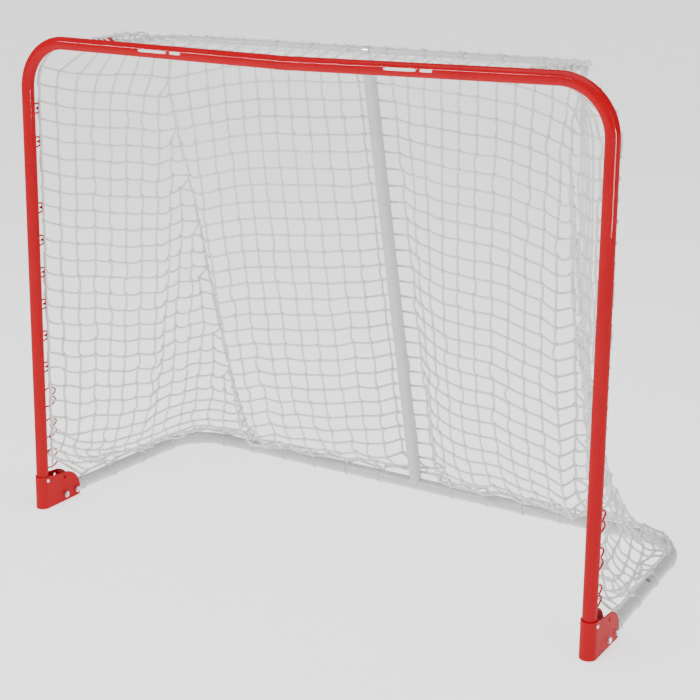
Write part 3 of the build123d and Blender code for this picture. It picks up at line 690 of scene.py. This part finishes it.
class Shader:
    """A Principled material with a few helpers for procedural detail."""

    def __init__(self, name, colour, roughness, metallic=0.0, coat=0.0, sheen=0.0):
        self.material = bpy.data.materials.new(name)
        self.material.use_nodes = True
        self.tree = self.material.node_tree
        self.main = self.tree.nodes["Principled BSDF"]
        self.main.inputs["Base Color"].default_value = (*colour, 1)
        self.main.inputs["Roughness"].default_value = roughness
        self.main.inputs["Metallic"].default_value = metallic
        self.main.inputs["Coat Weight"].default_value = coat
        self.main.inputs["Coat Roughness"].default_value = 0.06
        self.main.inputs["Sheen Weight"].default_value = sheen
        self.main.inputs["Specular IOR Level"].default_value = 0.30
        self.place = self.tree.nodes.new("ShaderNodeTexCoord")
        self.bump = None

    def noise(self, scale, detail=3.0, source="Object"):
        node = self.tree.nodes.new("ShaderNodeTexNoise")
        node.inputs["Scale"].default_value = scale
        node.inputs["Detail"].default_value = detail
        self.tree.links.new(self.place.outputs[source], node.inputs["Vector"])
        return node.outputs["Fac"]

    def ramp(self, factor, stops):
        node = self.tree.nodes.new("ShaderNodeValToRGB")
        elements = node.color_ramp.elements
        elements[0].position, elements[0].color = stops[0][0], (*stops[0][1], 1)
        elements[1].position, elements[1].color = stops[-1][0], (*stops[-1][1], 1)
        for position, colour in stops[1:-1]:
            elements.new(position).color = (*colour, 1)
        self.tree.links.new(factor, node.inputs["Fac"])
        return node.outputs["Color"]

    def colour(self, factor, stops):
        self.tree.links.new(self.ramp(factor, stops), self.main.inputs["Base Color"])

    def roughness(self, factor, low, high):
        node = self.tree.nodes.new("ShaderNodeMapRange")
        node.inputs["To Min"].default_value = low
        node.inputs["To Max"].default_value = high
        self.tree.links.new(factor, node.inputs["Value"])
        self.tree.links.new(node.outputs["Result"], self.main.inputs["Roughness"])

    def add_bump(self, height, strength, distance):
        node = self.tree.nodes.new("ShaderNodeBump")
        node.inputs["Strength"].default_value = strength
        node.inputs["Distance"].default_value = distance
        self.tree.links.new(height, node.inputs["Height"])
        if self.bump:
            self.tree.links.new(self.bump, node.inputs["Normal"])
        self.bump = node.outputs["Normal"]
        self.tree.links.new(self.bump, self.main.inputs["Normal"])

    def wave(self, source, scale, turn=(0, 0, 0), distortion=0.0):
        mapping = self.tree.nodes.new("ShaderNodeMapping")
        mapping.inputs["Rotation"].default_value = turn
        self.tree.links.new(self.place.outputs[source], mapping.inputs["Vector"])
        node = self.tree.nodes.new("ShaderNodeTexWave")
        node.inputs["Scale"].default_value = scale
        node.inputs["Distortion"].default_value = distortion
        node.bands_direction = "DIAGONAL"
        self.tree.links.new(mapping.outputs["Vector"], node.inputs["Vector"])
        return node.outputs["Fac"]


def powder_coat(name, colour, roughness, coat, specular):
    """Sprayed coating: faint orange peel, slight cloudiness and a little uneven gloss."""
    shader = Shader(name, colour, roughness, coat=coat)
    shader.main.inputs["Specular IOR Level"].default_value = specular
    dark = tuple(c * 0.93 for c in colour)
    shader.colour(shader.noise(9.0), [(0.35, dark), (0.62, colour)])
    shader.roughness(shader.noise(34.0), roughness * 0.85, roughness * 1.2)
    shader.add_bump(shader.noise(420.0, 1.5), 0.10, 0.0002)
    return shader.material


def zinc():
    shader = Shader("zinc", (0.66, 0.67, 0.69), 0.30, metallic=1.0)
    shader.colour(shader.noise(160.0), [(0.3, (0.52, 0.53, 0.56)), (0.7, (0.74, 0.74, 0.75))])
    shader.roughness(shader.noise(90.0), 0.20, 0.42)
    return shader.material


def black_plastic():
    shader = Shader("black_plastic", (0.022, 0.022, 0.024), 0.5)
    shader.colour(shader.noise(60.0), [(0.4, (0.018, 0.018, 0.020)), (0.7, (0.034, 0.034, 0.036))])
    shader.add_bump(shader.noise(900.0, 1.0), 0.25, 0.0002)
    return shader.material


def twine(name, colour, source, scale):
    """Laid polyester twine: twisted strands, a soft sheen, and painted shade that greys the hollows
    between strands.
    """
    shader = Shader(name, colour, 0.72, sheen=0.12)
    # Painted shade: the base colour is darkened in the hollows of the twist, where shade falls on the
    # white twine.
    painted_shade = tuple(c * 0.86 for c in colour)
    twist = shader.wave(source, scale, distortion=0.6)
    shader.colour(twist, [(0.05, painted_shade), (0.55, colour)])
    shader.add_bump(twist, 0.55, 0.0007)
    shader.add_bump(shader.noise(1300.0, 2.0), 0.25, 0.0003)
    return shader.material


def white_mark():
    shader = Shader("white_mark", (0.85, 0.85, 0.85), 0.35, coat=0.3)
    shader.colour(shader.noise(300.0), [(0.3, (0.80, 0.80, 0.80)), (0.6, (0.88, 0.88, 0.88))])
    return shader.material


RED = (0.420, 0.0003, 0.0070)
OFF_WHITE = (0.560, 0.572, 0.582)
TWINE_WHITE = (0.80, 0.80, 0.785)
MATERIALS = {
    "red_paint": powder_coat("red_paint", RED, 0.26, 0.22, 0.0),
    "white_paint": powder_coat("white_paint", OFF_WHITE, 0.40, 0.25, 0.30),
    "zinc": zinc(),
    "black_plastic": black_plastic(),
    "white_net": twine("white_net", TWINE_WHITE, "UV", 1.0),
    "white_cord": twine("white_cord", TWINE_WHITE, "Object", 95.0),
    "white_mark": white_mark(),
}
RED_WORDS = ("lower_post", "corner_tube", "foot_bracket", "socket", "hooks")
WHITE_WORDS = ("base_left_tube", "base_right_tube", "centre_support_tube", "shelf_rod")
BLACK_WORDS = ("foot_cap", "plug")
CORD_WORDS = ("cord", "ties")
ZINC_WORDS = ("screw", "bolt", "nut", "rivet", "clip")


def slot_of(name):
    for words, slot in ((ZINC_WORDS, "zinc"), (BLACK_WORDS, "black_plastic"), (CORD_WORDS, "white_cord"),
                        (WHITE_WORDS, "white_paint"), (RED_WORDS, "red_paint")):
        if any(word in name for word in words):
            return slot
    return "white_net"


def coat_cad_nodes():
    for name, node in NODES.items():
        material = MATERIALS[slot_of(name)]
        if not node.material_slots:
            node.data.materials.append(material)
        for slot in node.material_slots:
            slot.material = material



# --- Studio ---------------------------------------------------------------------------------------

def studio():
    mesh = bpy.data.meshes.new("floor")
    mesh.from_pydata([(-60, -60, 0), (60, -60, 0), (60, 60, 0), (-60, 60, 0)], [], [(0, 1, 2, 3)])
    floor = bpy.data.objects.new("floor", mesh)
    bpy.context.scene.collection.objects.link(floor)
    pale = Shader("pale_floor", (0.93, 0.93, 0.93), 0.9)
    pale.main.inputs["Emission Color"].default_value = (1, 1, 1, 1)
    pale.main.inputs["Emission Strength"].default_value = FLOOR_GLOW
    floor.data.materials.append(pale.material)
    world = bpy.data.worlds.new("studio")
    world.use_nodes = True
    world.node_tree.nodes["Background"].inputs["Color"].default_value = (1, 1, 1, 1)
    world.node_tree.nodes["Background"].inputs["Strength"].default_value = WORLD_LIGHT
    bpy.context.scene.world = world


def softbox(name, place, target, size, power, shine_only=False):
    light = bpy.data.lights.new(name, "AREA")
    light.shape = "RECTANGLE"
    light.size, light.size_y = size
    light.energy = power
    lamp = bpy.data.objects.new(name, light)
    bpy.context.scene.collection.objects.link(lamp)
    lamp.location = place
    aim = Vector(target) - Vector(place)
    lamp.rotation_mode = "QUATERNION"
    lamp.rotation_quaternion = aim.to_track_quat("-Z", "Y")
    lamp.visible_diffuse = not shine_only


def lights():
    softbox("strip", (-1.9, -3.4, 2.9), (0, 0, 1.0), (3.4, 0.28), 95)
    softbox("bar_shine", (-2.3, -3.4, 2.9), (-0.4, 0, 1.0), (2.2, 0.40), 160, shine_only=True)
    softbox("overhead", (0.3, -0.3, 3.6), (0, 0, 0.5), (3.0, 3.0), 75)
    softbox("post_shine", (1.81, -0.72, 0.88), (0.69, -0.29, 0.95), (0.26, 0.62), 30, shine_only=True)
    softbox("right_fill", (3.4, -1.8, 1.7), (0.3, 0, 0.6), (1.2, 2.0), 22)


def camera():
    """Camera at the photograph's viewing angle, found from the goal's own straight edges."""
    azimuth, elevation, roll = math.radians(34.02), math.radians(13.68), math.radians(-0.244)
    ahead = Vector((
        -math.sin(azimuth) * math.cos(elevation),
        math.cos(azimuth) * math.cos(elevation),
        -math.sin(elevation),
    ))
    right = Vector((math.cos(azimuth), math.sin(azimuth), 0))
    up = right.cross(ahead)
    right, up = (
        math.cos(roll) * right + math.sin(roll) * up,
        math.cos(roll) * up - math.sin(roll) * right,
    )
    data = bpy.data.cameras.new("camera")
    data.lens = 82.55
    data.sensor_width = 36
    data.shift_x = 0.1358
    data.shift_y = -0.1197
    data.clip_end = 200
    view = bpy.data.objects.new("camera", data)
    bpy.context.scene.collection.objects.link(view)
    turn = Matrix((right, up, -ahead)).transposed().to_4x4()
    view.matrix_world = Matrix.Translation((1.7306, -2.9699, 1.4566)) @ turn
    bpy.context.scene.camera = view


coat_cad_nodes()
make_net()
for word, side in (("left", -1), ("right", 1)):
    base_ties(word, side)
    socket_windings(word, side)
    post_hooks(word, side)
shelf_ties()
base_eyelet()
marks()
studio()
lights()
camera()
